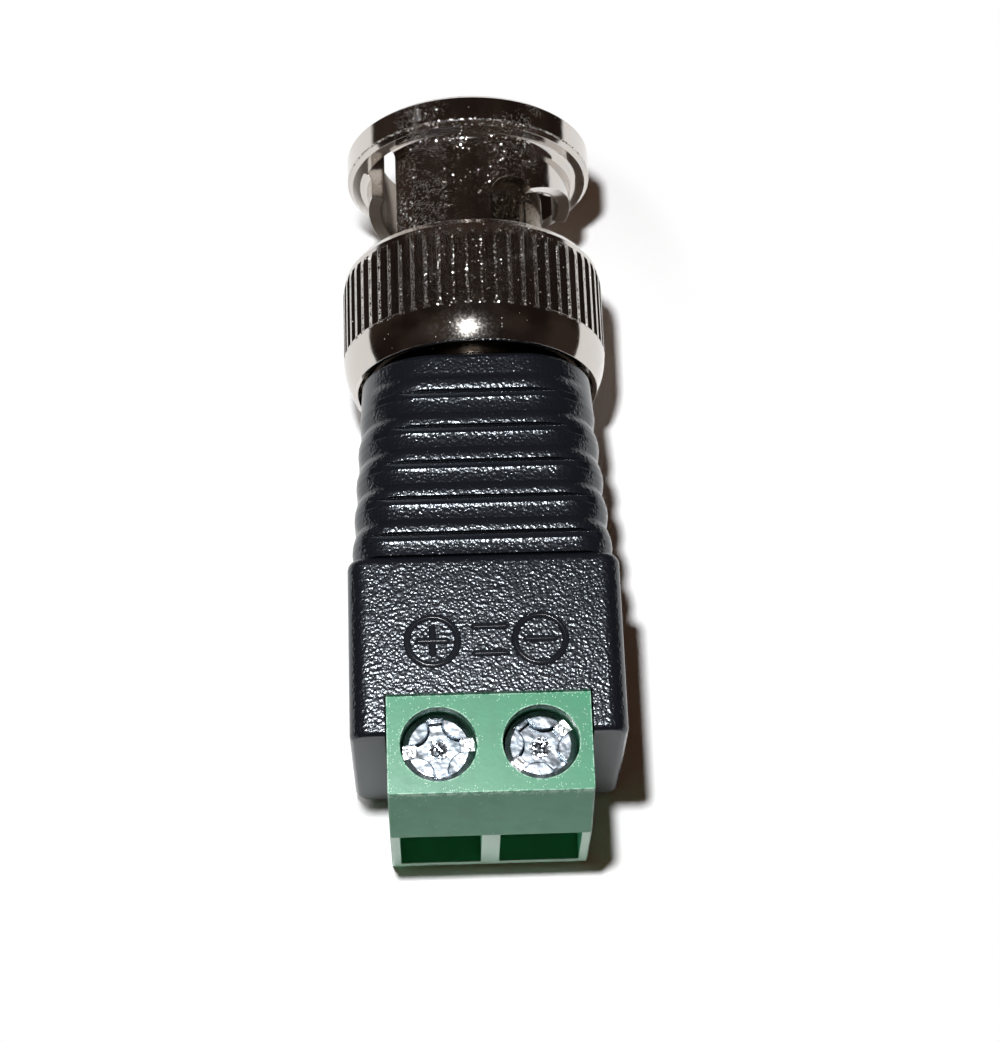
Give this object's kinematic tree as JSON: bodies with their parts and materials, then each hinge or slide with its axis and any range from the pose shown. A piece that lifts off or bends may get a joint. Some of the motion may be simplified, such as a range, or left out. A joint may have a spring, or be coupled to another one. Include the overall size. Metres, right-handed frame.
{
  "type": "bayonet coaxial plug to screw terminal adapter",
  "caption": "Coaxial video adapter: plated bayonet plug with fluted nut, ribbed black housing and green screw terminal block for a wire pair.",
  "frame": {"origin": "on the plug's axis at the front face of the insulator between the contacts, where the jack's contacts meet it", "axes": "+Y along the plug's axis out of its mouth, +Z towards the side with the terminal screws, +X to the right when seen from above with the plug's mouth pointing away; the plus terminal is at -X"},
  "size_m": [0.0142, 0.0398, 0.0142],
  "materials": {
    "nickel_plate": "plated, polished",
    "ring_plate": "plated, smooth",
    "washer_steel": "plain",
    "spring_steel": "plain",
    "body_plate": "plated",
    "contact_plate": "plated, smooth",
    "insulator_plastic": "satin",
    "pin_brass": "plated",
    "gasket_rubber": "matt",
    "housing_plastic": "fine spark-eroded grain",
    "block_plastic": "satin",
    "cage_steel": "plated",
    "bar_tin": "tinned",
    "screw_steel": "plated",
    "ferrite": "matt",
    "winding_enamel": "enamelled",
    "lead_enamel": "enamelled"
  },
  "bodies": {
    "adapter_body": {"wave_washer": "spring_steel", "plug_body": "body_plate", "outer_contact": "contact_plate", "insulator": "insulator_plastic", "centre_pin": "pin_brass", "sealing_gasket": "gasket_rubber", "housing": "housing_plastic", "terminal_block": "block_plastic", "contact_bar_plus": "bar_tin", "contact_bar_minus": "bar_tin", "ferrite_core": "ferrite", "plug_winding": "winding_enamel", "terminal_winding": "winding_enamel", "signal_lead": "lead_enamel", "ground_lead": "lead_enamel", "plus_lead": "lead_enamel", "minus_lead": "lead_enamel"},
    "nut_carrier": {"thrust_washer": "washer_steel"},
    "nut": {"coupling_nut": "nickel_plate", "retaining_ring": "ring_plate"},
    "plus_screw": {"terminal_screw_plus": "screw_steel"},
    "minus_screw": {"terminal_screw_minus": "screw_steel"},
    "plus_cage": {"clamp_cage_plus": "cage_steel"},
    "minus_cage": {"clamp_cage_minus": "cage_steel"}
  },
  "joints": [
    {"name": "nut_push", "type": "slide", "parent": "adapter_body", "child": "nut_carrier", "axis": [0, 1, 0], "range_m": [0, 0.0008], "stiffness_N_per_m": 6000, "springref_m": -0.0003, "deforming": ["wave_washer"]},
    {"name": "nut_turn", "type": "hinge", "parent": "nut_carrier", "child": "nut", "pos_m": [0, 0, 0], "axis": [0, 1, 0], "continuous": true},
    {"name": "plus_cage_lift", "type": "slide", "parent": "adapter_body", "child": "plus_cage", "axis": [0, 0, 1], "range_m": [0, 0.0019]},
    {"name": "plus_screw_turn", "type": "hinge", "parent": "adapter_body", "child": "plus_screw", "pos_m": [-0.00254, -0.0266, 0], "axis": [0, 0, 1], "range_deg": [-1369, 0]},
    {"name": "minus_cage_lift", "type": "slide", "parent": "adapter_body", "child": "minus_cage", "axis": [0, 0, 1], "range_m": [0, 0.0019]},
    {"name": "minus_screw_turn", "type": "hinge", "parent": "adapter_body", "child": "minus_screw", "pos_m": [0.00254, -0.0266, 0], "axis": [0, 0, 1], "range_deg": [-1369, 0]}
  ],
  "couplings": [
    {"joint": "plus_screw_turn", "follows": "plus_cage_lift", "rad_per_m": -12566},
    {"joint": "minus_screw_turn", "follows": "minus_cage_lift", "rad_per_m": -12566}
  ]
}
